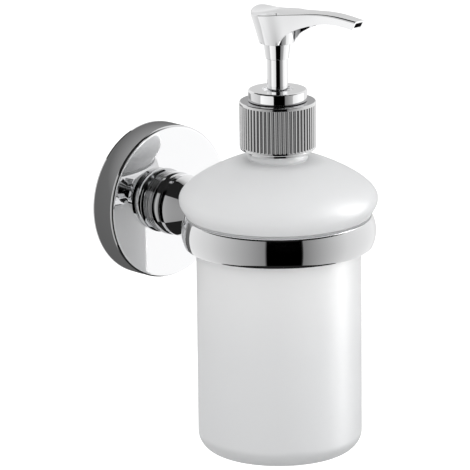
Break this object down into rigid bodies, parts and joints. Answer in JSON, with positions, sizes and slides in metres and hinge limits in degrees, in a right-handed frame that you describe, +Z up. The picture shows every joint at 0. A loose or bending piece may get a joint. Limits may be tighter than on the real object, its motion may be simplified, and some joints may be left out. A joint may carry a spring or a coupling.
{
  "type": "wall mounted soap dispenser",
  "caption": "Frosted glass pump bottle held in a chrome ring on a wall post, with a ribbed screw cap and a long spout.",
  "frame": {"origin": "centre of the wall face, on the wall plane", "axes": "+Y out of the wall face into the wall, so the bottle stands out along -Y; +Z up, along the bottle"},
  "size_m": [0.0806, 0.1247, 0.1852],
  "materials": {
    "chrome": "polished",
    "pump_chrome": "polished",
    "zinc_steel": "zinc plated",
    "spring_steel": "bright drawn",
    "frosted_glass": "etched, frosted",
    "liner_plastic": "translucent, satin",
    "tube_plastic": "translucent, satin",
    "white_plastic": "moulded gloss",
    "seal_plastic": "soft, satin",
    "gasket_rubber": "matte"
  },
  "bodies": {
    "wall_mount": {"wall_bracket": "zinc_steel", "flange_cover": "chrome", "grub_screw": "zinc_steel", "post_foot_ring": "chrome", "post_groove_ring": "chrome", "post_knob": "chrome", "post_bolt": "zinc_steel", "post_washer": "zinc_steel", "ring_holder": "chrome", "ring_screw": "zinc_steel"},
    "liner": {"ring_liner": "liner_plastic"},
    "bottle": {"bottle": "frosted_glass", "neck_ring": "pump_chrome"},
    "gasket": {"neck_gasket": "gasket_rubber"},
    "pump": {"collar": "pump_chrome", "pump_chamber": "white_plastic", "dip_tube": "tube_plastic", "inlet_cage": "white_plastic", "return_spring": "spring_steel", "stem_wiper": "seal_plastic"},
    "screw_cap": {"cap_shell": "pump_chrome", "cap_insert": "white_plastic"},
    "piston": {"piston_rod": "white_plastic", "piston_seal": "seal_plastic"},
    "head": {"pump_head": "pump_chrome", "stem_ferrule": "pump_chrome", "stem_sleeve": "pump_chrome"},
    "inlet_valve": {"inlet_ball": "spring_steel"},
    "outlet_valve": {"outlet_ball": "spring_steel"}
  },
  "joints": [
    {"name": "bottle_turn", "type": "hinge", "parent": "wall_mount", "child": "liner", "pos_m": [0, -0.0774, 0], "axis": [0, 0, 1], "continuous": true},
    {"name": "bottle_lift", "type": "slide", "parent": "liner", "child": "bottle", "axis": [0, 0, 1], "range_m": [0, 0.11]},
    {"name": "pump_pull", "type": "slide", "parent": "bottle", "child": "gasket", "axis": [0, 0, 1], "range_m": [0, 0.14]},
    {"name": "thread_rise", "type": "slide", "parent": "gasket", "child": "pump", "axis": [0, 0, 1], "range_m": [0, 0.00635]},
    {"name": "cap_turn", "type": "hinge", "parent": "pump", "child": "screw_cap", "pos_m": [0, -0.0774, 0.044], "axis": [0, 0, 1], "range_deg": [0, 540]},
    {"name": "head_press", "type": "slide", "parent": "pump", "child": "piston", "axis": [0, 0, -1], "range_m": [0, 0.012], "stiffness_N_per_m": 400, "springref_m": -0.006, "deforming": ["return_spring"]},
    {"name": "head_swivel", "type": "hinge", "parent": "piston", "child": "head", "pos_m": [0, -0.0774, 0.08], "axis": [0, 0, 1], "continuous": true},
    {"name": "inlet_lift", "type": "slide", "parent": "pump", "child": "inlet_valve", "axis": [0, 0, 1], "range_m": [0, 0.0008]},
    {"name": "outlet_lift", "type": "slide", "parent": "piston", "child": "outlet_valve", "axis": [0, 0, 1], "range_m": [0, 0.0006]}
  ],
  "couplings": [
    {"joint": "thread_rise", "follows": "cap_turn", "m_per_rad": 0.0006732}
  ]
}
